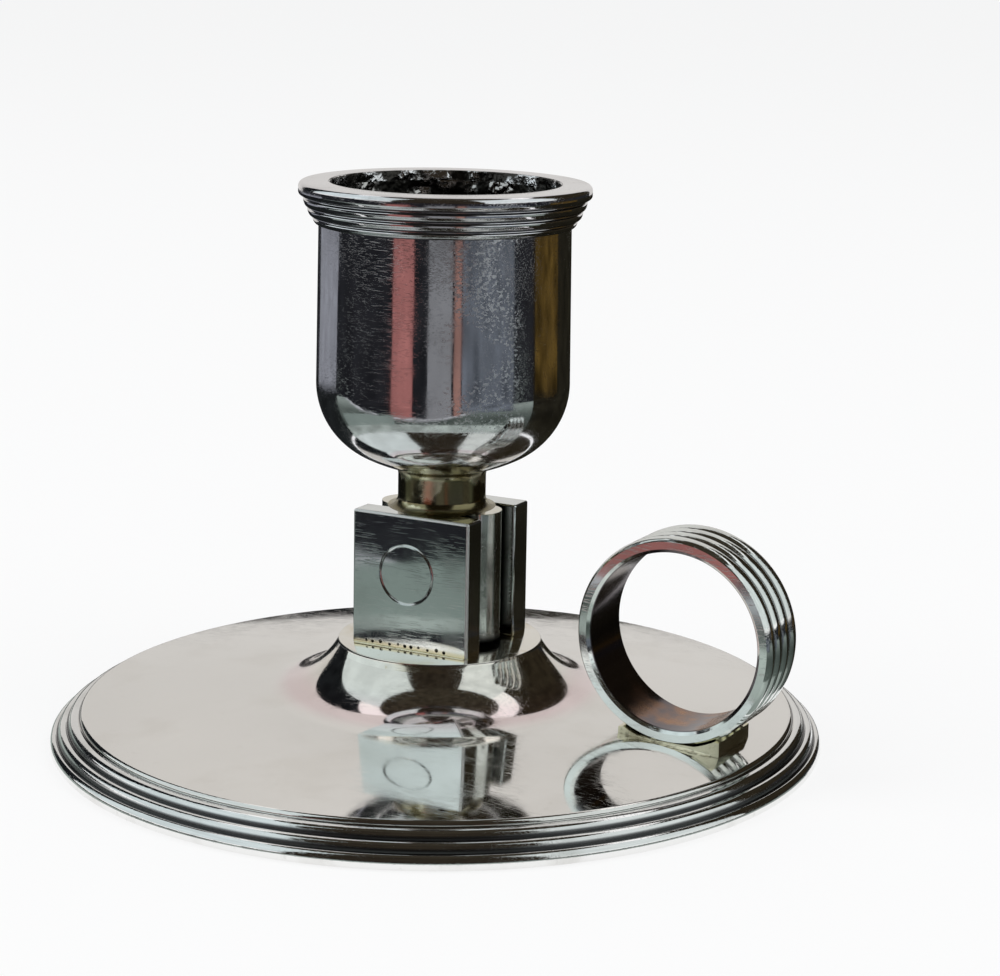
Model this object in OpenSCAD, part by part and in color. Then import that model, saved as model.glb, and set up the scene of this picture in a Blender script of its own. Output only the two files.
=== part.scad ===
// Silver taperstick: a round reeded base with a raised socle, a square stem block,
// a turned neck, a round-bottomed candle socket and an upright finger ring.
// Millimetres, +Z up, origin at the centre of the base on the table.
// The finger ring stands on the +X side, in the XZ plane.

/* [Base] */
// Diameter over the outer bead of the base
base_d = 76; // [72:0.5:82]
// Height of the plate's edge above the table
plate_edge_z = 3.6; // [3.4:0.1:4.2]
// Fall of the plate from socle to edge, in degrees
plate_fall = 4.4; // [3:0.2:6]
// Thickness of the metal of the plate
plate_t = 0.9; // [0.7:0.1:1.1]
// Width of the reeded border, from the plate's edge to the outer bead
border_w = 2.9; // [2.6:0.1:3.4]

/* [Socle] */
// Diameter of the flat top of the socle
socle_top_d = 20; // [18.5:0.5:21]
// Radius of the socle's hollow flank
flank_r = 9.2; // [8:0.2:10]
// Slope of the flank where it meets the flat top, in degrees
flank_slope = 62; // [55:1:66]
// Thickness of the disc that closes the socle
disc_t = 0.8; // [0.6:0.1:1]

/* [Stem block] */
// Width of the block across its engraved face
block_w = 12.8; // [11.5:0.1:13.2]
// Depth of the block from front slab to back slab
block_d = 12.2; // [11.5:0.1:12.8]
// Height of the block
block_h = 13.4; // [12:0.1:16]
// Thickness of each slab
slab_t = 2.7; // [2.3:0.1:3]
// Diameter of the half-round bars between the slabs
bar_d = 4.8; // [4:0.1:5.2]
// Gap under the bars, above the socle
bar_gap = 0.6; // [0.3:0.1:1]

/* [Neck] */
// Diameter at the waist
neck_d = 8.6; // [7.6:0.1:9.2]
// Height from the block to the socket
neck_h = 4.05; // [3.6:0.05:5]

/* [Candle socket] */
// Bore for the foot of the candle
bore_d = 22.2; // [21.6:0.1:22.6]
// Straight depth of the bore
bore_depth = 18.5; // [15:0.5:20]
// Outer diameter where the straight wall ends
cup_d = 24.7; // [24.4:0.1:25.2]
// Outer diameter under the rim
cup_top_d = 24.4; // [24.2:0.1:24.6]
// Radius of the round shoulder of the bottom
shoulder_r = 8; // [7:0.5:9]
// Outer diameter of the rim
rim_d = 28.3; // [27.6:0.1:29.2]

/* [Finger ring] */
// Outer diameter of the ring
ring_d = 20; // [19:0.5:20.5]
// Hole for the finger
hole_d = 17.1; // [16:0.1:17.4]
// Width of the band
band_w = 6.9; // [5:0.1:7.2]
// Number of reeds round the band
reeds = 4; // [3:1:5]
// Distance of the ring's centre from the middle of the base
ring_x = 26.7; // [25.5:0.1:27]

/* [Hidden] */
$fn = 128;
silver = [0.78, 0.77, 0.74];
shaded_silver = [0.62, 0.62, 0.6];

// The plate is a shallow cone that runs into the socle's hollow flank.
base_r = base_d / 2;
plate_edge_r = base_r - border_w;
disc_r = socle_top_d / 2;
flank_x = disc_r + flank_r * sin(flank_slope);
flank_foot_x = flank_x - flank_r * sin(plate_fall);
flank_foot_z = plate_edge_z + (plate_edge_r - flank_foot_x) * tan(plate_fall);
flank_z = flank_foot_z + flank_r * cos(plate_fall);
disc_edge = 0.2;
socle_z = flank_z - flank_r * cos(flank_slope) + disc_edge;
plate_top_z = socle_z - disc_t;
edge_round = 0.45;

// Reeds of the border, as shares of its width and of the height where it starts
border_z = plate_edge_z - edge_round - 0.1;
border_out = [0.4, 0.74, 1];
border_down = [0.74, 0.47, 0.22];

// The stem stands on the socle.
block_top_z = socle_z + block_h;
slab_chamfer = 0.2;
slab_y = block_d / 2 - slab_t;
bar_x = block_w / 2 - bar_d / 2;
cup_z = block_top_z + neck_h;

// The bottom of the cup is a flat seat, a shallow bowl and a round shoulder.
cup_r = cup_d / 2;
seat_r = 5.2;
bowl_angle = 63;
bowl_x = cup_r - shoulder_r * (1 - cos(bowl_angle));
bowl_r = bowl_x / cos(bowl_angle);
bowl_cz = cup_z + sqrt(bowl_r * bowl_r - seat_r * seat_r);
shoulder_z = bowl_cz - (bowl_r - shoulder_r) * sin(bowl_angle);
bore_r = bore_d / 2;
wall = cup_r - bore_r;
bore_end_z = shoulder_z + 1;
rim_z = bore_end_z + bore_depth;
lip_z = rim_z - 1;

// Inverted reeds of the rim, as steps out from the wall and down from the lip
rim_out = [0, 0.6, 1.1, 1.5];
rim_down = [3.05, 2.25, 1.3, 0.3];

// The ring stands on a low seat whose underside follows the plate.
ring_r = ring_d / 2;
hole_r = hole_d / 2;
foot_gap = 0.25;
filed_off = 0.35;
ring_foot_z = plate_edge_z + (plate_edge_r - ring_x) * tan(plate_fall) + foot_gap;
ring_z = ring_foot_z + ring_r - filed_off;
seat_l = 10.4;
seat_h = 1.2;
seat_overhang = 0.1;

// Points of an arc in the section plane, from angle a to angle b
function arc(x, z, r, a, b, n) =
    [for (i = [0:n]) let (t = a + (b - a) * i / n) [x + r * cos(t), z + r * sin(t)]];

// One reed of a stepped border: it starts near level at p and ends upright at q
function reed(p, q, n = 8) =
    let (lean = 15, a = (q[0] - p[0]) / (1 + sin(lean)), b = (p[1] - q[1]) / cos(lean))
    [for (i = [1:n]) let (t = (90 + lean) * (1 - i / n)) [q[0] - a + a * cos(t), q[1] + b * sin(t)]];

// Everything below the upper surface of the plate and the socle's flank
module under_plate() {
    rotate_extrude()
        polygon(concat(
            [[0, -1]],
            [[plate_edge_r, -1]],
            [[plate_edge_r, plate_edge_z]],
            arc(flank_x, flank_z, flank_r, 270 - plate_fall, 270 - flank_slope, 24),
            [[0, flank_z - flank_r * cos(flank_slope)]]
        ));
}

// Raised plate: shallow cone, hollow flank and the ledge under the socle's disc
module base_plate() {
    ledge_angle = 270 - flank_slope + 4;
    upper = arc(flank_x, flank_z, flank_r, 270 - plate_fall, ledge_angle, 20);
    lower = arc(flank_x, flank_z, flank_r + plate_t, ledge_angle, 270 - plate_fall, 20);
    edge_z = plate_edge_z - plate_t / cos(plate_fall);
    color(silver)
        difference() {
            rotate_extrude()
                polygon(concat(
                    [[plate_edge_r - edge_round, plate_edge_z + edge_round * tan(plate_fall)]],
                    upper,
                    lower,
                    [[plate_edge_r, edge_z]],
                    arc(plate_edge_r - edge_round, plate_edge_z - edge_round, edge_round, 0, 80, 6)
                ));
            translate([0, 0, plate_top_z])
                cylinder(h = disc_t + 1, r = disc_r + 1);
        }
}

// Border soldered round the plate: two reeds and an outer bead over a hollow foot
module reeded_border() {
    start = [plate_edge_r, border_z];
    steps = [for (i = [0:2]) [plate_edge_r + border_w * border_out[i], border_z * border_down[i]]];
    bead_r = border_z * border_down[2];
    foot_w = 1;
    under_z = plate_edge_z - plate_t - 0.1;
    under_step = [0.4, 0.5];
    color(silver)
        rotate_extrude()
            polygon(concat(
                [[plate_edge_r, under_z], start],
                reed(start, steps[0]),
                reed(steps[0], steps[1]),
                reed(steps[1], steps[2]),
                arc(base_r - bead_r, bead_r, bead_r, -10, -90, 8),
                [[base_r - bead_r - foot_w, 0], [base_r - bead_r - foot_w, bead_r]],
                [[plate_edge_r + under_step[0], under_z - under_step[1]]]
            ));
}

// Flat disc that closes the socle and carries the block
module socle_disc() {
    top_of_flank = socle_z - disc_edge;
    color(silver)
        union() {
            translate([0, 0, top_of_flank])
                cylinder(h = disc_edge, r = disc_r);
            intersection() {
                under_plate();
                translate([0, 0, plate_top_z])
                    cylinder(h = top_of_flank - plate_top_z, r = disc_r + 2);
            }
        }
}

// Plain upright slab with its four upright edges eased
module slab() {
    w = block_w / 2;
    c = slab_chamfer;
    translate([0, 0, socle_z])
        linear_extrude(block_h)
            polygon([
                [-w + c, 0], [w - c, 0], [w, c], [w, slab_t - c],
                [w - c, slab_t], [-w + c, slab_t], [-w, slab_t - c], [-w, c]
            ]);
}

// Front slab, whose face carries a plain engraved circle
module block_front_slab() {
    circle_r = 3;
    line_w = 0.22;
    line_depth = 0.12;
    circle_x = -0.4;
    circle_z = socle_z + block_h * 0.56;
    color(silver)
        difference() {
            translate([0, -block_d / 2, 0])
                slab();
            translate([circle_x, -block_d / 2 - 1, circle_z])
                rotate([-90, 0, 0])
                    difference() {
                        cylinder(h = 1 + line_depth, r = circle_r);
                        cylinder(h = 1 + line_depth, r = circle_r - line_w);
                    }
        }
}

// Back slab, plain on both faces
module block_back_slab() {
    color(silver)
        translate([0, slab_y, 0])
            slab();
}

// Web between the slabs with a half-round bar on each side, open under the bars
module block_core() {
    web_inset = 0.4;
    web = bar_x - web_inset;
    color(shaded_silver)
        union() {
            translate([-web, -slab_y, socle_z])
                cube([2 * web, 2 * slab_y, block_h]);
            translate([0, 0, socle_z + bar_gap])
                linear_extrude(block_h - bar_gap) {
                    square([2 * bar_x, bar_d], center = true);
                    for (side = [-1, 1])
                        translate([side * bar_x, 0])
                            circle(d = bar_d);
                }
        }
}

// Turned neck, filleted into the block and into the bottom of the cup
module neck() {
    waist_r = neck_d / 2;
    low_fillet = 1;
    high_fillet = seat_r - waist_r;
    color(silver)
        rotate_extrude()
            polygon(concat(
                [[0, block_top_z]],
                arc(waist_r + low_fillet, block_top_z + low_fillet, low_fillet, 270, 180, 8),
                arc(waist_r + high_fillet, cup_z - high_fillet, high_fillet, 180, 90, 8),
                [[0, cup_z]]
            ));
}

// Candle cup: straight wall, round shoulder and a seat for the neck
module socket_cup() {
    inner_shoulder = shoulder_r - wall;
    rim_h = 4.1;
    floor_t = 1.4;
    color(silver)
        rotate_extrude()
            polygon(concat(
                [[0, cup_z], [seat_r, cup_z]],
                arc(0, bowl_cz, bowl_r, 270 + asin(seat_r / bowl_r), 270 + 90 - bowl_angle, 10),
                arc(cup_r - shoulder_r, shoulder_z, shoulder_r, -bowl_angle, 0, 16),
                [[cup_top_d / 2, rim_z - rim_h], [cup_top_d / 2, lip_z], [bore_r, lip_z]],
                [[bore_r, bore_end_z]],
                arc(bore_r - inner_shoulder, bore_end_z, inner_shoulder, 0, -70, 14),
                [[0, cup_z + floor_t]]
            ));
}

// Rim soldered over the cup's edge: a flat lip above three inverted reeds
module socket_rim() {
    body_r = cup_top_d / 2;
    lip_r = rim_d / 2;
    lip_t = rim_z - lip_z;
    round_r = 0.5;
    arris = 0.15;
    steps = [for (i = [0:3]) [body_r + rim_out[i], rim_down[i]]];
    color(silver)
        translate([0, 0, lip_z])
            mirror([0, 0, 1])
                rotate_extrude()
                    polygon(concat(
                        [[bore_r, 0], [body_r, 0], steps[0]],
                        reed(steps[0], steps[1]),
                        reed(steps[1], steps[2]),
                        reed(steps[2], steps[3]),
                        reed(steps[3], [lip_r, 0], 5),
                        arc(lip_r - round_r, round_r - lip_t, round_r, 0, -90, 6),
                        arc(bore_r + arris, arris - lip_t, arris, -90, -180, 3)
                    ));
}

// Reeded band bent into a ring, standing on edge and filed flat at its foot
module ring_handle() {
    inner_bevel = 0.35;
    reed_r = band_w / reeds / 2;
    reed_rise = 0.38;
    root_r = ring_r - reed_rise;
    chord_r = (reed_r * reed_r + reed_rise * reed_rise) / (2 * reed_rise);
    half_angle = asin(reed_r / chord_r);
    color(silver)
        difference() {
            translate([ring_x, 0, ring_z])
                rotate([90, 0, 0])
                    rotate_extrude()
                        polygon(concat(
                            [[root_r, -band_w / 2], [hole_r + inner_bevel, -band_w / 2]],
                            [[hole_r, -band_w / 2 + inner_bevel], [hole_r, band_w / 2 - inner_bevel]],
                            [[hole_r + inner_bevel, band_w / 2]],
                            [for (i = [reeds - 1:-1:0])
                                let (y = (2 * i + 1) * reed_r - band_w / 2)
                                each arc(ring_r - chord_r, y, chord_r, half_angle, 1 - half_angle, 6)]
                        ));
            translate([0, -band_w, ring_foot_z - 2])
                cube([base_r, 2 * band_w, 2]);
        }
}

// Low seat that fills the wedge between the round band and the sloping plate
module ring_seat() {
    half_w = band_w / 2 + seat_overhang;
    crown_r = 30;
    color(shaded_silver)
        difference() {
            intersection() {
                translate([ring_x - seat_l / 2, -half_w, 0])
                    cube([seat_l, 2 * half_w, ring_z]);
                translate([ring_x, 0, ring_foot_z + seat_h - crown_r])
                    rotate([90, 0, 0])
                        cylinder(h = 4 * half_w, r = crown_r, center = true);
            }
            under_plate();
            difference() {
                translate([ring_x, 0, ring_z])
                    rotate([90, 0, 0])
                        cylinder(h = 4 * half_w, r = ring_r, center = true);
                translate([0, -2 * half_w, 0])
                    cube([base_r, 4 * half_w, ring_foot_z]);
            }
        }
}

base_plate();
reeded_border();
socle_disc();
block_front_slab();
block_back_slab();
block_core();
neck();
socket_cup();
socket_rim();
ring_handle();
ring_seat();
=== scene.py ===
import math
import bpy
from mathutils import Matrix, Vector


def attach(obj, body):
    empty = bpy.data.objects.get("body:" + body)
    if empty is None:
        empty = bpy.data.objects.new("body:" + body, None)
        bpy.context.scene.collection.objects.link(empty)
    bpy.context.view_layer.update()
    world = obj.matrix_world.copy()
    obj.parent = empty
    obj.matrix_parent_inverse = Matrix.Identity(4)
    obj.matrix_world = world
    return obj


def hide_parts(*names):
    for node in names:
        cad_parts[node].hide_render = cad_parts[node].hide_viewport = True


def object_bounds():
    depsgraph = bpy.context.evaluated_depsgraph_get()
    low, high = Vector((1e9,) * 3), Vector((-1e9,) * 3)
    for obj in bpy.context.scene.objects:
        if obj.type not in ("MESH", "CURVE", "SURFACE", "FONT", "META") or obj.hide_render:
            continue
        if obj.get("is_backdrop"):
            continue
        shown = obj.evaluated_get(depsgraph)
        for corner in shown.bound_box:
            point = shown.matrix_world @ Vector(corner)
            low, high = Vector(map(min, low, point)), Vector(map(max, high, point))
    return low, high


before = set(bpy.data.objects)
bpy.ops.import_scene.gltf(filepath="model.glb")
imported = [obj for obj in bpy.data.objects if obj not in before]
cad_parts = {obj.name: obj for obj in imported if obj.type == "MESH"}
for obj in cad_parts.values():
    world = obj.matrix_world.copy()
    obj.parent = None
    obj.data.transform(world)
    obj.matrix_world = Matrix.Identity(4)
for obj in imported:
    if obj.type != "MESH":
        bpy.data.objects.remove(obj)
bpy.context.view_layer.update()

# Base plate: sheet silver raised to a shallow cone that runs up into the hollow flank of the socle.
# It was hammered and then polished, so its mirror waves a little and carries fine wear scratches.
MM = 0.001
plate_edge_r = 35.1
plate_edge_z = 3.6
plate_fall = 4.4
plate_t = 0.9
edge_round = 0.45
flank_r = 9.2
flank_slope = 62
socle_r = 10
flank_x = socle_r + flank_r * math.sin(math.radians(flank_slope))
flank_foot_x = flank_x - flank_r * math.sin(math.radians(plate_fall))
flank_foot_z = plate_edge_z + (plate_edge_r - flank_foot_x) * math.tan(math.radians(plate_fall))
flank_z = flank_foot_z + flank_r * math.cos(math.radians(plate_fall))
ledge_angle = 270 - flank_slope + 4


def arc(x, z, r, start, end, n):
    """Points of an arc in the section plane, angles in degrees."""
    turns = [math.radians(start + (end - start) * i / n) for i in range(n + 1)]
    return [(x + r * math.cos(t), z + r * math.sin(t)) for t in turns]


def deselect():
    """Leaves object mode clean for the next primitive."""
    bpy.ops.object.select_all(action="DESELECT")


def tidy_mesh():
    """Merges doubles and turns the faces outwards, in edit mode."""
    bpy.ops.mesh.select_all(action="SELECT")
    bpy.ops.mesh.remove_doubles(threshold=0.001 * MM)
    bpy.ops.mesh.normals_make_consistent(inside=False)


def draw(name, points):
    """Starts a mesh from one vertex and extrudes it from point to point, in metres."""
    deselect()
    bpy.ops.mesh.primitive_plane_add(size=MM)
    piece = bpy.context.object
    piece.name = piece.data.name = name
    bpy.ops.object.mode_set(mode="EDIT")
    bpy.ops.mesh.merge(type="CENTER")
    bpy.ops.transform.translate(value=points[0])
    for a, b in zip(points, points[1:]):
        bpy.ops.mesh.extrude_region_move(TRANSFORM_OT_translate={"value": b - a})
    bpy.ops.mesh.select_all(action="SELECT")
    bpy.ops.mesh.remove_doubles(threshold=0.001 * MM)
    return piece


def finish_piece(piece, smooth=38):
    """Back to object mode, with smooth faces and crisp arrises."""
    bpy.ops.object.mode_set(mode="OBJECT")
    bpy.ops.object.shade_smooth_by_angle(angle=math.radians(smooth))
    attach(piece, "root")
    return piece


def turned(name, outline, centre=(0, 0, 0), axle=(0, 0, 1), steps=256, smooth=38):
    """A closed section of (radius, height) points in millimetres, spun round as on a lathe."""
    middle = Vector(centre) * MM
    out, along = Vector((1, 0, 0)), Vector(axle)
    points = [middle + (out * r + along * h) * MM for r, h in outline + outline[:1]]
    piece = draw(name, points)
    bpy.ops.mesh.spin(steps=steps, angle=math.tau, center=middle, axis=axle)
    tidy_mesh()
    return finish_piece(piece, smooth)


def add(tree, kind, inputs=None, **settings):
    """One shader node: inputs are sockets to link or plain values."""
    made = tree.nodes.new(kind)
    for key, value in settings.items():
        setattr(made, key, value)
    for key, value in (inputs or {}).items():
        if isinstance(value, bpy.types.NodeSocket):
            tree.links.new(value, made.inputs[key])
        else:
            made.inputs[key].default_value = value
    return made


def sums(tree, operation, a, b, clamp=False):
    """A Math node's result."""
    return add(tree, "ShaderNodeMath", {0: a, 1: b}, operation=operation, use_clamp=clamp).outputs[0]


def ranged(tree, value, low, high, to_low=0.0, to_high=1.0):
    """A smooth step from low to high."""
    inputs = {"Value": value, "From Min": low, "From Max": high, "To Min": to_low, "To Max": to_high}
    return add(tree, "ShaderNodeMapRange", inputs, interpolation_type="SMOOTHSTEP").outputs[0]


def tinted(tree, factor, a, b):
    """A colour between a and b."""
    return add(tree, "ShaderNodeMix", {0: factor, 6: a, 7: b}, data_type="RGBA").outputs[2]


def cloud(tree, where, per_metre, detail=3.0):
    """Cloudy noise from 0 to 1 at so many cells a metre."""
    inputs = {"Vector": where, "Scale": per_metre, "Detail": detail}
    return add(tree, "ShaderNodeTexNoise", inputs).outputs[0]


def strokes(tree, where, turn, along, across, level):
    """Short straight scratches in one direction, thinned out in patches of their own."""
    scale = (along, across, across)
    laid = add(tree, "ShaderNodeMapping", {"Vector": where, "Rotation": turn, "Scale": scale})
    lines = ranged(tree, cloud(tree, laid.outputs[0], 1.0, 1.0), level, level + 0.05)
    moved = add(tree, "ShaderNodeMapping", {"Vector": where, "Location": turn}).outputs[0]
    return sums(tree, "MULTIPLY", lines, ranged(tree, cloud(tree, moved, 210.0, 1.0), 0.47, 0.60))


def silver(name, tone, stain, stained, rough, waves, scratches, wave_scale=110.0):
    """Polished silver: tone and stain are colours, stained how much shows, waves in millimetres.
    Returns the material, its tree, its shader and its coordinates."""
    made = bpy.data.materials.new(name)
    made.use_nodes = True
    tree = made.node_tree
    shader = tree.nodes["Principled BSDF"]
    shader.inputs["Metallic"].default_value = 1.0
    where = add(tree, "ShaderNodeTexCoord").outputs["Object"]
    patches = cloud(tree, where, 130.0, 6.0)
    spots = cloud(tree, where, 900.0, 4.0)
    small = ranged(tree, spots, 0.62, 0.74, 0.0, 0.5)
    dull = sums(tree, "ADD", ranged(tree, patches, 0.48, 0.72), small, True)
    factor = sums(tree, "MULTIPLY", dull, stained)
    lines = strokes(tree, where, (0.3, 0.9, 0.5), 350.0, 6500.0, 0.60)
    for turn in ((1.1, 0.7, 1.9), (0.2, 2.3, 2.6), (2.0, 0.4, 1.2)):
        lines = sums(tree, "MAXIMUM", lines, strokes(tree, where, turn, 500.0, 7500.0, 0.60))
    lines = sums(tree, "MULTIPLY", lines, scratches)
    colour = tinted(tree, factor, (*tone, 1), (*stain, 1))
    bright = tinted(tree, sums(tree, "MULTIPLY", lines, 0.12), colour, (0.97, 0.96, 0.94, 1))
    tree.links.new(bright, shader.inputs["Base Color"])
    grain = ranged(tree, cloud(tree, where, 420.0, 5.0), 0.35, 0.7, rough, rough + 0.05)
    worn = sums(tree, "ADD", sums(tree, "MULTIPLY", lines, 0.15), sums(tree, "MULTIPLY", factor, 0.15))
    roughness = sums(tree, "ADD", grain, worn)
    tree.links.new(roughness, shader.inputs["Roughness"])
    broad = add(
        tree,
        "ShaderNodeBump",
        {"Strength": 1.0, "Distance": waves * MM, "Height": cloud(tree, where, wave_scale, 1.0)},
    )
    fine = add(
        tree,
        "ShaderNodeBump",
        {"Strength": 0.5, "Distance": 0.003 * MM, "Height": lines, "Normal": broad.outputs[0]},
    )
    tree.links.new(fine.outputs[0], shader.inputs["Normal"])
    return made, tree, shader, where


def parts_of(tree, where):
    """Radius from the stem's axis and height, both in metres."""
    x, y, z = add(tree, "ShaderNodeSeparateXYZ", {0: where}).outputs
    squares = sums(tree, "ADD", sums(tree, "MULTIPLY", x, x), sums(tree, "MULTIPLY", y, y))
    return sums(tree, "SQRT", squares, 0.0), z


def grooved(tree, shader, lines, deep):
    """Sinks the surface along the lines, so that each crown beside them catches more light."""
    crowns = sums(tree, "SUBTRACT", 1.0, lines)
    old = shader.inputs["Normal"].links[0].from_socket
    inputs = {"Strength": 1.0, "Distance": deep * MM, "Height": crowns, "Normal": old}
    tree.links.new(add(tree, "ShaderNodeBump", inputs).outputs[0], shader.inputs["Normal"])


def overlay_colour(tree, shader, mask, colour, rough):
    """Lays a further colour over the base colour and roughness, where mask is 1: stains, and also painted
    shade and painted highlights.
    """
    for socket, wanted in (("Base Color", (*colour, 1)), ("Roughness", rough)):
        old = shader.inputs[socket].links[0].from_socket
        if socket == "Base Color":
            new = tinted(tree, mask, old, wanted)
        else:
            new = add(tree, "ShaderNodeMix", {0: mask, 2: old, 3: wanted}, data_type="FLOAT").outputs[0]
        tree.links.new(new, shader.inputs[socket])


def dressed(piece, material, slot, *nodes):
    """Gives a piece its material and hides the CAD nodes it stands for."""
    piece.data.materials.clear()
    piece.data.materials.append(material)
    if nodes:
        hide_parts(*nodes)


plate_finish, tree, shader, where = silver(
    "plate_silver", (0.89, 0.87, 0.84), (0.70, 0.66, 0.60), 0.22, 0.045, 0.03, 0.6, 70.0
)
radius, height = parts_of(tree, where)
tint_low = 5.0
tint_high = 7.4
flank_tint = ranged(tree, height, (tint_low + 0.2) * MM, (tint_high + 0.6) * MM)
foot_tint = ranged(tree, height, tint_low * MM, (tint_low + 0.6) * MM)
foot_tint = sums(tree, "MULTIPLY", foot_tint, ranged(tree, height, tint_high * MM, (tint_high - 1.5) * MM))
overlay_colour(tree, shader, sums(tree, "MULTIPLY", foot_tint, 0.45), (0.86, 0.62, 0.66), 0.07)
overlay_colour(tree, shader, sums(tree, "MULTIPLY", flank_tint, 0.25), (0.74, 0.66, 0.50), 0.06)
upper = arc(flank_x, flank_z, flank_r, 270 - plate_fall, ledge_angle, 22)
lower = arc(flank_x, flank_z, flank_r + plate_t, ledge_angle, 270 - plate_fall, 22)
plate_rim = arc(plate_edge_r - edge_round, plate_edge_z - edge_round, edge_round, 0, 80, 8)
plate_foot = [(plate_edge_r, plate_edge_z - plate_t / math.cos(math.radians(plate_fall)))]
plate = turned("raised_plate", upper + lower + plate_foot + plate_rim, steps=320)
dressed(plate, plate_finish, "plate_silver", "base_plate")

# Border: two reeds and a large outer bead, drawn as one strip and soldered round the plate.
# The polish is brightest on the crowns, and the creases between them are painted near-black as shade.
base_r = 38
border_w = base_r - plate_edge_r
border_z = plate_edge_z - edge_round - 0.1
border_out = (0.4, 0.74, 1)
border_down = (0.74, 0.47, 0.22)
bead_r = border_z * border_down[2]


def reed(p, q, n=10, lean=15):
    """One reed of a stepped border, near level at p and upright at q."""
    a = (q[0] - p[0]) / (1 + math.sin(math.radians(lean)))
    b = (p[1] - q[1]) / math.cos(math.radians(lean))
    turns = [math.radians((90 + lean) * (1 - i / n)) for i in range(1, n + 1)]
    return [(q[0] - a + a * math.cos(t), q[1] + b * math.sin(t)) for t in turns]


def creases(tree, value, places, width):
    """1 near each place along value, in millimetres."""
    total = None
    for place in places:
        gap = sums(tree, "SUBTRACT", value, place * MM)
        gap = add(tree, "ShaderNodeMath", {0: gap}, operation="ABSOLUTE").outputs[0]
        line = ranged(tree, gap, width * MM, width * 0.3 * MM)
        total = line if total is None else sums(tree, "MAXIMUM", total, line)
    return total


border_steps = [
    (plate_edge_r + border_w * out, border_z * down) for out, down in zip(border_out, border_down)
]
border_start = (plate_edge_r, border_z)
border_outline = [(plate_edge_r, 2.6), border_start]
for a, b in zip([border_start] + border_steps, border_steps):
    border_outline += reed(a, b)
border_outline += arc(base_r - bead_r, bead_r, bead_r, -10, -90, 8)
border_outline += [(base_r - bead_r - 1, 0), (base_r - bead_r - 1, bead_r), (plate_edge_r + 0.4, 2.1)]
border_finish, tree, shader, where = silver(
    "border_silver", (0.89, 0.89, 0.88), (0.42, 0.40, 0.36), 0.35, 0.05, 0.012, 0.6
)
radius, height = parts_of(tree, where)
crease_radii = [plate_edge_r, border_steps[0][0], border_steps[1][0]]
# Painted shade: a thin near-black line along each crease of the border.
dark = creases(tree, radius, crease_radii, 0.16)
overlay_colour(tree, shader, sums(tree, "MULTIPLY", dark, 0.92), (0.05, 0.05, 0.055), 0.3)
grooved(tree, shader, creases(tree, radius, crease_radii, 0.3), 0.06)
border = turned("reeded_border_strip", border_outline, steps=320, smooth=34)
dressed(border, border_finish, "border_silver", "reeded_border")

# Disc of the socle: a flat round of silver that closes the hollow flank and carries the block.
# Its crisp edge stands a little proud of the flank, and solder yellows it round the block.
socle_top = flank_z - flank_r * math.cos(math.radians(flank_slope)) + 0.2
disc_low = socle_top - 0.8
disc_angle = 180 + math.degrees(math.asin((flank_z - disc_low) / flank_r))
disc_side = arc(flank_x, flank_z, flank_r, disc_angle, 270 - flank_slope, 5)
disc_outline = [(0, disc_low)] + disc_side
disc_outline += arc(socle_r - 0.06, socle_top - 0.06, 0.06, 0, 90, 3) + [(0, socle_top)]
disc_finish, tree, shader, where = silver(
    "socle_silver", (0.90, 0.87, 0.80), (0.70, 0.58, 0.36), 0.7, 0.06, 0.02, 0.7
)
disc = turned("socle_top", disc_outline, steps=192)
dressed(disc, disc_finish, "socle_silver", "socle_disc")

# Stem block: two plain slabs of sheet silver, filed square, with their arrises worn and the front ones
# painted near-white as a highlight.
# The front one has a circle cut in with a graver, and pits along the solder line at its foot.
block_w = 12.8
block_d = 12.2
block_h = 13.4
slab_t = 2.7
slab_worn = 0.22
circle_r = 2.9
circle_x = -0.4
circle_z = socle_top + block_h * 0.56
graver_r = 0.16
pit_r = 0.18
pit_gap = 0.86
pits = 11
flat_angle = 12


def block(name, size, middle, worn, segments=3):
    """A rectangular piece with every arris eased, sizes in millimetres."""
    deselect()
    bpy.ops.mesh.primitive_cube_add(size=1, location=[v * MM for v in middle])
    piece = bpy.context.object
    piece.name = piece.data.name = name
    piece.scale = [v * MM for v in size]
    bpy.ops.object.transform_apply(location=True, rotation=True, scale=True)
    bpy.ops.object.mode_set(mode="EDIT")
    bpy.ops.mesh.select_all(action="SELECT")
    bpy.ops.mesh.bevel(offset=worn * MM, segments=segments, affect="EDGES")
    tidy_mesh()
    return finish_piece(piece, flat_angle)


def cut_with(piece, cutter, operation="DIFFERENCE"):
    """Applies a boolean and takes the cutter away."""
    deselect()
    bpy.context.view_layer.objects.active = piece
    piece.select_set(True)
    step = piece.modifiers.new("cut", "BOOLEAN")
    step.operation = operation
    step.solver = "EXACT"
    step.object = cutter
    bpy.ops.object.modifier_apply(modifier=step.name)
    bpy.data.objects.remove(cutter)
    bpy.ops.object.shade_smooth_by_angle(angle=math.radians(flat_angle))


slab_finish, tree, shader, where = silver(
    "slab_silver", (0.84, 0.87, 0.86), (0.52, 0.54, 0.50), 0.30, 0.045, 0.05, 0.5, 120.0
)
radius, height = parts_of(tree, where)
seam = ranged(tree, height, (socle_top + 0.75) * MM, (socle_top + 0.25) * MM)
overlay_colour(tree, shader, sums(tree, "MULTIPLY", seam, 0.75), (0.80, 0.68, 0.40), 0.16)
x, y, z = add(tree, "ShaderNodeSeparateXYZ", {0: where}).outputs
front_y = -block_d / 2
pitted = sums(
    tree,
    "MULTIPLY",
    ranged(tree, y, (front_y + 0.03) * MM, (front_y + 0.08) * MM),
    ranged(tree, y, (front_y + 0.5) * MM, (front_y + 0.4) * MM),
)
across = add(tree, "ShaderNodeMath", {0: x}, operation="ABSOLUTE").outputs[0]
across = ranged(tree, across, 5.9 * MM, 5.7 * MM)
pitted = sums(tree, "MULTIPLY", sums(tree, "MULTIPLY", pitted, across), seam)
overlay_colour(tree, shader, pitted, (0.02, 0.018, 0.012), 0.6)
circle_middle = (circle_x * MM, front_y * MM, circle_z * MM)
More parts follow.
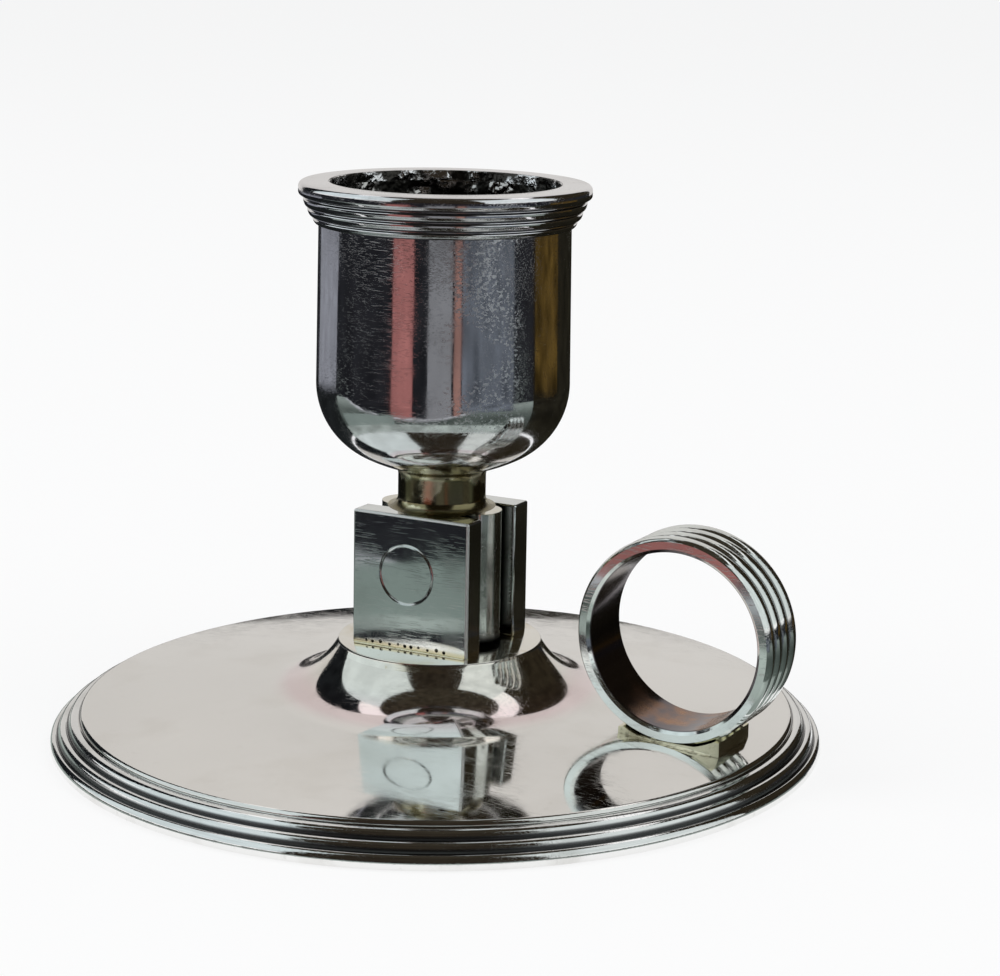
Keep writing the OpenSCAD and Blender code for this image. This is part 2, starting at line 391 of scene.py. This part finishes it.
from_circle = add(
    tree, "ShaderNodeVectorMath", {0: where, 1: circle_middle}, operation="DISTANCE"
).outputs["Value"]
cut_line = creases(tree, from_circle, [circle_r], 0.18)
broken = ranged(tree, cloud(tree, where, 320.0, 1.0), 0.42, 0.52, 1.0, 0.25)
overlay_colour(tree, shader, sums(tree, "MULTIPLY", cut_line, broken), (0.03, 0.03, 0.028), 0.3)
block_top = socle_top + block_h
# Painted highlight over the wear: the top and side arrises of the front face are painted near-white and
# rougher.
top_arris_wear_and_highlight = ranged(tree, z, (block_top - 0.3) * MM, (block_top - 0.2) * MM)
side_arris_wear_and_highlight = ranged(tree, x, (block_w / 2 - 0.26) * MM, (block_w / 2 - 0.18) * MM)
face_near = ranged(tree, y, (front_y + 0.3) * MM, (front_y + 0.2) * MM)
worn = sums(tree, "MULTIPLY", sums(tree, "MAXIMUM", top_arris_wear_and_highlight, side_arris_wear_and_highlight), face_near)
overlay_colour(tree, shader, worn, (0.98, 0.98, 0.97), 0.5)
slabs = {}
for side, node in ((-1, "block_front_slab"), (1, "block_back_slab")):
    middle = (0, side * (block_d - slab_t) / 2, socle_top + block_h / 2)
    slabs[side] = block(node.replace("block", "stem"), (block_w, slab_t, block_h), middle, slab_worn)
    dressed(slabs[side], slab_finish, "slab_silver", node)
front = slabs[-1]
deselect()
bpy.ops.mesh.primitive_torus_add(
    location=circle_middle,
    rotation=(math.radians(90), 0, 0),
    major_radius=circle_r * MM,
    minor_radius=graver_r * MM,
    major_segments=96,
    minor_segments=12,
)
cut_with(front, bpy.context.object)
for i in range(pits):
    deselect()
    x = (i - 5.6) * pit_gap + 0.16 * math.sin(5.1 * i)
    z = socle_top + 0.42 + 0.07 * math.sin(3.7 * i)
    bpy.ops.mesh.primitive_uv_sphere_add(
        segments=16,
        ring_count=8,
        radius=pit_r * (0.75 + 0.35 * math.sin(2.3 * i) ** 2) * MM,
        location=(x * MM, front_y * MM, z * MM),
    )
    cut_with(front, bpy.context.object)

# Core of the block: a web between the slabs with a half-round bar on each side, cut short at the foot.
# The grooves and the foot of each bar are painted near-black as shade, so the bars keep only a strip of
# light.
bar_d = 4.8
bar_x = (block_w - bar_d) / 2
bar_gap = 0.6
web_x = bar_x - 0.4
core_y = block_d / 2 - slab_t
sides = arc(bar_x, 0, bar_d / 2, -90, 90, 24) + arc(-bar_x, 0, bar_d / 2, 90, 270, 24)
bar_low = socle_top + bar_gap
points = [Vector((x, y, bar_low)) * MM for x, y in sides]
core = draw("stem_core", points + points[:1])
bpy.ops.mesh.edge_face_add()
bpy.ops.mesh.extrude_region_move(TRANSFORM_OT_translate={"value": (0, 0, (block_h - bar_gap) * MM)})
tidy_mesh()
finish_piece(core)
web = block("stem_web", (2 * web_x, 2 * core_y, block_h), (0, 0, socle_top + block_h / 2), 0.05)
cut_with(core, web, "UNION")
core_finish, tree, shader, where = silver(
    "core_silver", (0.80, 0.80, 0.76), (0.22, 0.21, 0.17), 0.7, 0.07, 0.03, 0.8
)
x, y, z = add(tree, "ShaderNodeSeparateXYZ", {0: where}).outputs
# Painted shade: near-black over the web and the inner part of each bar, and over the foot of the bars above
# the gap.
sideways = add(tree, "ShaderNodeMath", {0: x}, operation="ABSOLUTE").outputs[0]
deep = ranged(tree, sideways, (bar_x + 1.6) * MM, (bar_x + 0.4) * MM)
low_down = ranged(tree, z, (bar_low + 1.2) * MM, bar_low * MM)
overlay_colour(tree, shader, sums(tree, "MAXIMUM", deep, low_down), (0.02, 0.02, 0.018), 0.5)
top_face = ranged(tree, z, (block_top - 0.2) * MM, (block_top - 0.05) * MM)
overlay_colour(tree, shader, top_face, (0.80, 0.77, 0.66), 0.12)
dressed(core, core_finish, "core_silver", "block_core")

# Solder at the foot of the block: hard solder that ran along the joints and was never quite cleaned off.
# It lies as a low uneven bead, yellower and duller than the silver round it.
solder_finish, tree, shader, where = silver(
    "solder_finish", (0.80, 0.75, 0.56), (0.30, 0.25, 0.14), 0.8, 0.14, 0.03, 0.2, 420.0
)
bead_cuts = 24


def solder_bead(name, start, end, thick, seed):
    """A low uneven bead of solder between two points, in millimetres."""
    a, b = Vector(start), Vector(end)
    deselect()
    bpy.ops.mesh.primitive_cylinder_add(
        vertices=12, radius=thick * MM, depth=(b - a).length * MM, location=(a + b) / 2 * MM
    )
    piece = bpy.context.object
    piece.name = piece.data.name = name
    piece.rotation_mode = "QUATERNION"
    piece.rotation_quaternion = (b - a).to_track_quat("Z", "Y")
    bpy.ops.object.transform_apply(location=True, rotation=True, scale=True)
    bpy.ops.object.mode_set(mode="EDIT")
    bpy.ops.mesh.select_all(action="SELECT")
    bpy.ops.mesh.bisect(plane_co=(a + b) / 2 * MM, plane_no=b - a)
    for i in range(1, bead_cuts):
        bpy.ops.mesh.select_all(action="SELECT")
        bpy.ops.mesh.bisect(plane_co=a.lerp(b, i / bead_cuts) * MM, plane_no=b - a)
    bpy.ops.mesh.select_all(action="SELECT")
    bpy.ops.transform.vertex_random(offset=thick * 0.35 * MM, seed=seed)
    tidy_mesh()
    finish_piece(piece, 70)
    dressed(piece, solder_finish, "solder_silver")
    return piece


half_w = block_w / 2 - 0.3
for side, seed in ((-1, 3), (1, 5)):
    y = side * (block_d / 2 - 0.05)
    solder_bead(f"foot_solder_{seed}", (-half_w, y, socle_top), (half_w, y, socle_top), 0.1, seed)
for side, seed in ((-1, 7), (1, 11)):
    x = side * (block_w / 2 - 0.06)
    for end, back in ((-1, 0), (1, 2)):
        outer = end * (block_d / 2 - 0.25)
        inner = end * (block_d / 2 - slab_t + 0.2)
        name = f"side_solder_{seed + back}"
        solder_bead(name, (x, outer, socle_top), (x, inner, socle_top), 0.1, seed + back)

# Neck: turned from the solid and soldered between the block and the cup.
# Its fillets keep a yellow and olive bloom where the polishing mop didn't reach.
neck_r = 4.3
neck_h = 4.05
cup_low = block_top + neck_h
seat_r = 5.2
neck_outline = [(0, block_top)] + arc(neck_r + 1, block_top + 1, 1, 270, 180, 12)
neck_outline += arc(seat_r, cup_low - seat_r + neck_r, seat_r - neck_r, 180, 90, 12) + [(0, cup_low)]
neck_finish, tree, shader, where = silver(
    "neck_silver", (0.95, 0.89, 0.64), (0.40, 0.35, 0.16), 0.6, 0.26, 0.06, 0.5, 260.0
)
radius, height = parts_of(tree, where)
blotch = ranged(tree, cloud(tree, where, 230.0, 3.0), 0.47, 0.53)
overlay_colour(tree, shader, sums(tree, "MULTIPLY", blotch, 0.9), (0.17, 0.14, 0.06), 0.16)
dark = creases(tree, height, [block_top + 0.2, cup_low - 0.1], 0.4)
overlay_colour(tree, shader, sums(tree, "MULTIPLY", dark, 0.7), (0.16, 0.13, 0.06), 0.3)
neck = turned("turned_neck", neck_outline, steps=128)
dressed(neck, neck_finish, "neck_silver", "neck")

# Candle cup: raised from sheet, with a straight wall, a round shoulder and a shallow bowl.
# Outside it is a mirror full of cleaning scratches; inside it is black with old wax and tarnish.
cup_r = 12.35
cup_top_r = 12.2
shoulder_r = 8
bowl_angle = 63
bore_r = 11.1
bowl_r = (cup_r - shoulder_r * (1 - math.cos(math.radians(bowl_angle)))) / math.cos(math.radians(bowl_angle))
bowl_cz = cup_low + math.sqrt(bowl_r ** 2 - seat_r ** 2)
shoulder_z = bowl_cz - (bowl_r - shoulder_r) * math.sin(math.radians(bowl_angle))
bore_end = shoulder_z + 1
rim_top = bore_end + 18.5
lip_z = rim_top - 1
inner_r = shoulder_r - (cup_r - bore_r)
seat_angle = 270 + math.degrees(math.asin(seat_r / bowl_r))
cup_outline = [(0, cup_low)]
cup_outline += arc(0, bowl_cz, bowl_r, seat_angle, 360 - bowl_angle, 16)
cup_outline += arc(cup_r - shoulder_r, shoulder_z, shoulder_r, -bowl_angle, 0, 30)[1:]
cup_outline += [(cup_top_r, rim_top - 4.1), (cup_top_r, lip_z), (bore_r, lip_z), (bore_r, bore_end)]
cup_outline += arc(bore_r - inner_r, bore_end, inner_r, 0, -70, 16)[1:] + [(0, cup_low + 1.4)]
cup_finish, tree, shader, where = silver(
    "cup_silver", (0.87, 0.87, 0.88), (0.55, 0.53, 0.52), 0.2, 0.05, 0.034, 0.7, 120.0
)
radius, height = parts_of(tree, where)
within = ranged(tree, radius, (bore_r + 0.3) * MM, (bore_r + 0.1) * MM)
hollow = add(
    tree, "ShaderNodeVectorMath", {0: where, 1: (0, 0, bowl_cz * MM)}, operation="DISTANCE"
).outputs["Value"]
inside = sums(tree, "MULTIPLY", within, ranged(tree, hollow, (bowl_r - 1.2) * MM, (bowl_r - 1.5) * MM))
sooty = ranged(tree, cloud(tree, where, 300.0, 5.0), 0.42, 0.49)
overlay_colour(tree, shader, sums(tree, "MULTIPLY", inside, 0.8), (0.48, 0.45, 0.43), 0.08)
overlay_colour(tree, shader, sums(tree, "MULTIPLY", inside, sooty), (0.03, 0.028, 0.025), 0.4)
ragged = sums(tree, "MULTIPLY", inside, ranged(tree, height, (rim_top - 5) * MM, (rim_top - 2.5) * MM))
ragged = sums(tree, "MULTIPLY", ragged, cloud(tree, where, 380.0, 3.0))
grooved(tree, shader, ragged, 0.9)
rubbed_side = (0.72, -0.69, 0)
toward = add(
    tree, "ShaderNodeVectorMath", {0: where, 1: rubbed_side}, operation="DOT_PRODUCT"
).outputs["Value"]
rubbed = ranged(tree, toward, 11.0 * MM, 12.1 * MM)
cross = sums(
    tree,
    "MAXIMUM",
    strokes(tree, where, (0.9, 0.5, 0.6), 260.0, 3600.0, 0.55),
    strokes(tree, where, (2.2, 0.6, 0.9), 260.0, 3600.0, 0.55),
)
rubbed = sums(tree, "MULTIPLY", sums(tree, "MULTIPLY", rubbed, cross), 0.8)
overlay_colour(tree, shader, rubbed, (0.95, 0.96, 0.98), 0.38)
cup = turned("candle_cup", cup_outline, steps=288)
dressed(cup, cup_finish, "cup_silver", "socket_cup")

# Rim: a moulded ring with a flat lip over inverted reeds, turned and soldered over the cup's edge.
# The lip is worn smooth and bright, and a dark line is painted under each reed as shade.
rim_r = 14.15
lip_round = 0.5
lip_arris = 0.15
rim_out = (0, 0.6, 1.1, 1.5)
rim_down = (3.05, 2.25, 1.3, 0.3)
rim_steps = [(cup_top_r + out, down) for out, down in zip(rim_out, rim_down)]
rim_outline = [(bore_r, 0), (cup_top_r, 0), rim_steps[0]]
for a, b in zip(rim_steps, rim_steps[1:] + [(rim_r, 0)]):
    rim_outline += reed(a, b)
rim_outline += arc(rim_r - lip_round, lip_round - 1, lip_round, 0, -90, 10)
rim_outline += arc(bore_r + lip_arris, lip_arris - 1, lip_arris, -90, -180, 4)
rim_outline = [(r, lip_z - h) for r, h in rim_outline]
rim_finish, tree, shader, where = silver(
    "rim_silver", (0.90, 0.89, 0.91), (0.46, 0.43, 0.42), 0.3, 0.05, 0.012, 0.7
)
radius, height = parts_of(tree, where)
crease_heights = [lip_z - down for r, down in rim_steps]
# Painted shade: a near-black line under each reed, on the outside of the rim.
dark = creases(tree, height, crease_heights, 0.15)
outside = ranged(tree, radius, (bore_r + 0.4) * MM, (bore_r + 0.9) * MM)
overlay_colour(tree, shader, sums(tree, "MULTIPLY", dark, outside), (0.05, 0.05, 0.055), 0.3)
wide = creases(tree, height, crease_heights, 0.42)
grooved(tree, shader, sums(tree, "MULTIPLY", wide, outside), 0.22)
bore_wall = ranged(tree, radius, (bore_r + 0.2) * MM, (bore_r + 0.1) * MM)
crust = cloud(tree, where, 420.0, 4.0)
grooved(tree, shader, sums(tree, "MULTIPLY", bore_wall, crust), 0.8)
bore_stain = sums(tree, "MULTIPLY", bore_wall, ranged(tree, crust, 0.44, 0.52))
overlay_colour(tree, shader, bore_stain, (0.06, 0.055, 0.05), 0.3)
rim = turned("moulded_rim", rim_outline, steps=288, smooth=34)
dressed(rim, rim_finish, "rim_silver", "socket_rim")

# Finger ring: a band with four reeds, bent round, soldered, and filed flat where it meets the plate.
# The outside is bright from handling, and the inside is brown and dark with old tarnish.
ring_x = 26.7
ring_r = 10
hole_r = 8.55
band_w = 6.9
reeds = 4
inner_bevel = 0.35
reed_rise = 0.38
ring_foot = plate_edge_z + (plate_edge_r - ring_x) * math.tan(math.radians(plate_fall)) + 0.25
ring_z = ring_foot + ring_r - 0.35
reed_r = band_w / reeds / 2
chord_r = (reed_r ** 2 + reed_rise ** 2) / (2 * reed_rise)
half_angle = math.degrees(math.asin(reed_r / chord_r))
half_band = band_w / 2
ring_outline = [(ring_r - reed_rise, -half_band), (hole_r + inner_bevel, -half_band)]
ring_outline += [(hole_r, inner_bevel - half_band), (hole_r, half_band - inner_bevel)]
ring_outline += [(hole_r + inner_bevel, half_band)]
for i in reversed(range(reeds)):
    reed_y = (2 * i + 1) * reed_r - half_band
    ring_outline += arc(ring_r - chord_r, reed_y, chord_r, half_angle, 1 - half_angle, 12)
ring = turned("finger_ring", ring_outline, (ring_x, 0, ring_z), (0, 1, 0), 256, 34)
bpy.ops.object.mode_set(mode="EDIT")
bpy.ops.mesh.select_all(action="SELECT")
bpy.ops.mesh.bisect(plane_co=(0, 0, ring_foot * MM), plane_no=(0, 0, 1), use_fill=True, clear_inner=True)
tidy_mesh()
bpy.ops.object.mode_set(mode="OBJECT")
ring_finish, tree, shader, where = silver(
    "ring_silver", (0.87, 0.90, 0.88), (0.50, 0.44, 0.42), 0.35, 0.05, 0.015, 0.9
)
x, y, z = add(tree, "ShaderNodeSeparateXYZ", {0: where}).outputs
flat = add(tree, "ShaderNodeCombineXYZ", {0: x, 2: z}).outputs[0]
from_middle = add(
    tree, "ShaderNodeVectorMath", {0: flat, 1: (ring_x * MM, 0, ring_z * MM)}, operation="DISTANCE"
).outputs["Value"]
inside = ranged(tree, from_middle, (hole_r + 0.12) * MM, (hole_r + 0.02) * MM)
brown = ranged(tree, cloud(tree, where, 260.0, 5.0), 0.40, 0.62)
low_down = ranged(tree, z, (ring_foot + 5) * MM, (ring_foot + 1) * MM)
overlay_colour(tree, shader, sums(tree, "MULTIPLY", inside, 0.95), (0.13, 0.10, 0.11), 0.16)
brown = sums(tree, "MULTIPLY", inside, sums(tree, "MULTIPLY", brown, low_down))
overlay_colour(tree, shader, brown, (0.42, 0.22, 0.12), 0.3)
across = [(2 * i + 1) * reed_r - half_band + reed_r for i in range(reeds - 1)]
outside = ranged(tree, from_middle, (ring_r - reed_rise - 0.2) * MM, (ring_r - reed_rise - 0.1) * MM)
# Painted shade: a near-black line in each crease between the reeds on the outside of the band.
dark = sums(tree, "MULTIPLY", creases(tree, y, across, 0.2), outside)
overlay_colour(tree, shader, sums(tree, "MULTIPLY", dark, 0.9), (0.05, 0.045, 0.05), 0.3)
dressed(ring, ring_finish, "ring_silver", "ring_handle")

# Seat of the ring: a low pad with the solder that fills the wedge between the band and the plate.
# It keeps its place and shape from the frame; uneven beads of solder run along its edges.
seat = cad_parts["ring_seat"]
seat.data.materials.clear()
seat.data.materials.append(solder_finish)
seat_half = 4.4
plate_mid = plate_edge_z + (plate_edge_r - ring_x) * math.tan(math.radians(plate_fall))
seat_fall = seat_half * math.tan(math.radians(plate_fall))
for side, seed in ((-1, 13), (1, 15)):
    y = side * (half_band - 0.05)
    start = (ring_x - seat_half, y, plate_mid + seat_fall)
    end = (ring_x + seat_half, y, plate_mid - seat_fall)
    solder_bead(f"ring_solder_{seed}", start, end, 0.22, seed)

# Floor and studio: a pale table that keeps the soft shadow, and a white surround.
# Screens that only mirror rays see stand round the piece, as dark flags and windows do for silver.
camera_side = 29.5
table_size = 12


def lit_or_white(tree, plain, bright):
    """The bright shader for camera, glossy and transmission rays, and the plain one for the rest."""
    path = add(tree, "ShaderNodeLightPath")
    seen = sums(tree, "MAXIMUM", path.outputs["Is Camera Ray"], path.outputs["Is Glossy Ray"])
    seen = sums(tree, "MAXIMUM", seen, path.outputs["Is Transmission Ray"])
    return add(tree, "ShaderNodeMixShader", {0: seen, 1: plain, 2: bright}).outputs[0]


deselect()
bpy.ops.mesh.primitive_plane_add(size=table_size)
table = bpy.context.object
table.name = "table"
paper = bpy.data.materials.new("white_paper")
paper.use_nodes = True
tree = paper.node_tree
tree.nodes.remove(tree.nodes["Principled BSDF"])
matt = add(tree, "ShaderNodeBsdfDiffuse", {"Color": (0.88, 0.88, 0.88, 1)}).outputs[0]
white = add(tree, "ShaderNodeEmission", {"Color": (1, 1, 1, 1), "Strength": 1.0}).outputs[0]
mostly = add(tree, "ShaderNodeMixShader", {0: 0.8, 1: matt, 2: white}).outputs[0]
tree.links.new(lit_or_white(tree, matt, mostly), tree.nodes["Material Output"].inputs[0])
table.data.materials.append(paper)
table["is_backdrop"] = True

world = bpy.data.worlds.new("studio")
bpy.context.scene.world = world
world.use_nodes = True
tree = world.node_tree
soft = tree.nodes["Background"]
soft.inputs["Color"].default_value = (0.86, 0.88, 0.90, 1)
soft.inputs["Strength"].default_value = 0.7
bright = add(tree, "ShaderNodeBackground", {"Color": (1, 1, 1, 1), "Strength": 1.0})
tree.links.new(lit_or_white(tree, soft.outputs[0], bright.outputs[0]), tree.nodes["World Output"].inputs[0])


def screen(name, colour, section, start, end, uneven_low=0.45, patches=14.0, edge=None):
    """A screen seen in mirrors only: a line of (radius, height) in metres, swept from start to end.
    Angles are in degrees to the right of the camera, seen from the piece. With an edge, it stops
    along a nearly straight line, so far in front of the stem."""
    turn = Matrix.Rotation(math.radians(camera_side + start - 90), 3, "Z")
    piece = draw(name, [turn @ Vector((r, 0, h)) for r, h in section])
    steps = max(2, int(abs(end - start) / 6))
    bpy.ops.mesh.spin(steps=steps, angle=-math.radians(end - start), center=(0, 0, 0), axis=(0, 0, 1))
    bpy.ops.object.mode_set(mode="OBJECT")
    for kind in ("camera", "diffuse", "transmission", "volume_scatter", "shadow"):
        setattr(piece, f"visible_{kind}", False)
    cloth = bpy.data.materials.new(name)
    cloth.use_nodes = True
    tree = cloth.node_tree
    tree.nodes.remove(tree.nodes["Principled BSDF"])
    there = add(tree, "ShaderNodeTexCoord").outputs["Object"]
    uneven = ranged(tree, cloud(tree, there, patches, 3.0), 0.3, 0.7)
    shade = [uneven_low * v for v in colour]
    mixed = tinted(tree, uneven, (*shade, 1), (*colour, 1))
    if edge:
        far = ranged(tree, parts_of(tree, there)[0], 0.06, 0.15)
        mixed = tinted(tree, far, mixed, (0.24, 0.28, 0.26, 1))
        side = math.radians(camera_side - 28)
        forward = {0: there, 1: (math.sin(side), -math.cos(side), 0)}
        ahead = add(tree, "ShaderNodeVectorMath", forward, operation="DOT_PRODUCT").outputs["Value"]
        wavy = sums(tree, "ADD", ahead, sums(tree, "MULTIPLY", cloud(tree, there, 40.0, 3.0), 0.02))
        mixed = tinted(tree, ranged(tree, wavy, edge - 0.012, edge), mixed, (0.46, 0.47, 0.50, 1))
    glow = add(tree, "ShaderNodeEmission", {"Color": mixed, "Strength": 1.0}).outputs[0]
    if edge:
        clear = add(tree, "ShaderNodeBsdfTransparent").outputs[0]
        gone = sums(tree, "GREATER_THAN", wavy, edge)
        glow = add(tree, "ShaderNodeMixShader", {0: gone, 1: glow, 2: clear}).outputs[0]
    tree.links.new(glow, tree.nodes["Material Output"].inputs[0])
    piece.data.materials.append(cloth)
    piece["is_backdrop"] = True


def standing(low, high, away=0.5, level=0.03):
    """The section of a screen between two elevations seen from the piece, in degrees."""
    return [(away, level + away * math.tan(math.radians(e))) for e in (low, high)]


# Ground: a dark table, a grey-green mat with a straight front edge, and strips of cloth beyond it.
# Each strip has its colour, near and far radius, start and end angle, unevenness and level.
dark = (0.02, 0.021, 0.025)
screen("dark_table", dark, [(0.042, 0.0001), (0.5, 0.0001)], 0, 360)
screen("dark_skirt", dark, [(0.5, 0.0001), (0.5, 0.04)], -146, 150)
screen("mat", (0.09, 0.11, 0.10), [(0.042, 0.0006), (0.165, 0.0006)], 0, 360, 0.5, 30.0, 0.077)
screen("near_sheet", (0.44, 0.50, 0.47), [(0.0385, 0.0007), (0.052, 0.0007)], -112, 70, 0.5, 60.0)
for name, colour, near, far, start, end, low, level in (
    ("left_grey", (0.23, 0.28, 0.26), 0.05, 0.076, -104, -44, 0.8, 0.0008),
    ("left_shade", (0.015, 0.017, 0.018), 0.042, 0.2, -178, -108, 0.5, 0.0008),
    ("right_shade", (0.02, 0.018, 0.012), 0.042, 0.5, 86, 176, 0.4, 0.0008),
    ("lavender_cloth", (0.29, 0.30, 0.34), 0.19, 0.46, -150, -110, 0.7, 0.001),
    ("red_cloth", (0.42, 0.17, 0.16), 0.045, 0.46, -46, -27, 0.6, 0.0003),
    ("grey_cloth", (0.22, 0.225, 0.24), 0.045, 0.46, -14, 7, 0.9, 0.0003),
    ("pink_cloth", (0.36, 0.20, 0.17), 0.045, 0.46, 9, 15, 0.6, 0.0003),
    ("slate_cloth", (0.16, 0.18, 0.215), 0.1, 0.46, 16, 64, 0.3, 0.0009),
    ("brown_cloth", (0.13, 0.08, 0.02), 0.19, 0.46, 88, 122, 0.12, 0.001),
):
    screen(name, colour, [(near, level), (far, level)], start, end, low, 24.0)
# Round it: two bright windows, dark curtains and a dark flag in front, a pale wall behind.
screen("front_flag", (0.035, 0.028, 0.02), standing(1, 64), -42, 30)
screen("ceiling", (0.05, 0.042, 0.03), [(0.0, 1.2), (0.58, 1.2)], 0, 360)
screen("left_window", (0.74, 0.83, 0.85), standing(6, 64), -122, -42, 0.8, 6.0)
screen("right_window", (0.80, 0.86, 0.86), standing(4, 64), 30, 94, 0.75, 6.0)
screen("left_curtain", (0.012, 0.014, 0.016), standing(1, 54), -146, -122)
screen("right_curtain", (0.03, 0.024, 0.015), standing(1, 54), 94, 150)
screen("back_wall", (0.68, 0.665, 0.645), [(0.5, 0.001), (0.5, 1.0)], 150, 214, 0.92, 5.0)

lamp_away = 0.7
for name, turn in (("left_lamp", -80), ("right_lamp", 62)):
    lamp = bpy.data.lights.new(name, "AREA")
    lamp.size = 0.7
    lamp.energy = 3.0
    holder = bpy.data.objects.new(name, lamp)
    bpy.context.scene.collection.objects.link(holder)
    side = math.radians(camera_side + turn)
    away = Vector((math.sin(side), -math.cos(side), 1.0)) * lamp_away
    holder.location = away
    holder.rotation_mode = "QUATERNION"
    holder.rotation_quaternion = away.to_track_quat("Z", "Y")
    holder.visible_glossy = False

# Camera: a long lens close to the piece, a little above it, as in the photograph.
# The picture was cropped off centre, which the shift restores.
camera_away = 0.246877
camera_high = 0.081466
camera_pan = 0.0616
camera_tilt = 0.170
camera_roll = 0.0239
lens = bpy.data.cameras.new("photo_camera")
lens.sensor_width = 36
lens.lens = 92.493
lens.shift_x = -0.1
lens.shift_y = -0.138
lens.clip_start = 0.01
camera = bpy.data.objects.new("photo_camera", lens)
bpy.context.scene.collection.objects.link(camera)
round_stem = Matrix.Rotation(math.radians(camera_side), 4, "Z")
camera.matrix_world = (
    round_stem
    @ Matrix.Translation((0, -camera_away, camera_high))
    @ Matrix.Rotation(-camera_pan, 4, "Z")
    @ Matrix.Rotation(math.pi / 2 - camera_tilt, 4, "X")
    @ Matrix.Rotation(camera_roll, 4, "Z")
)
bpy.context.scene.camera = camera
bpy.context.scene.view_settings.view_transform = "Standard"

# The box round the finished piece is measured, lowest corner first.
low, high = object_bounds()
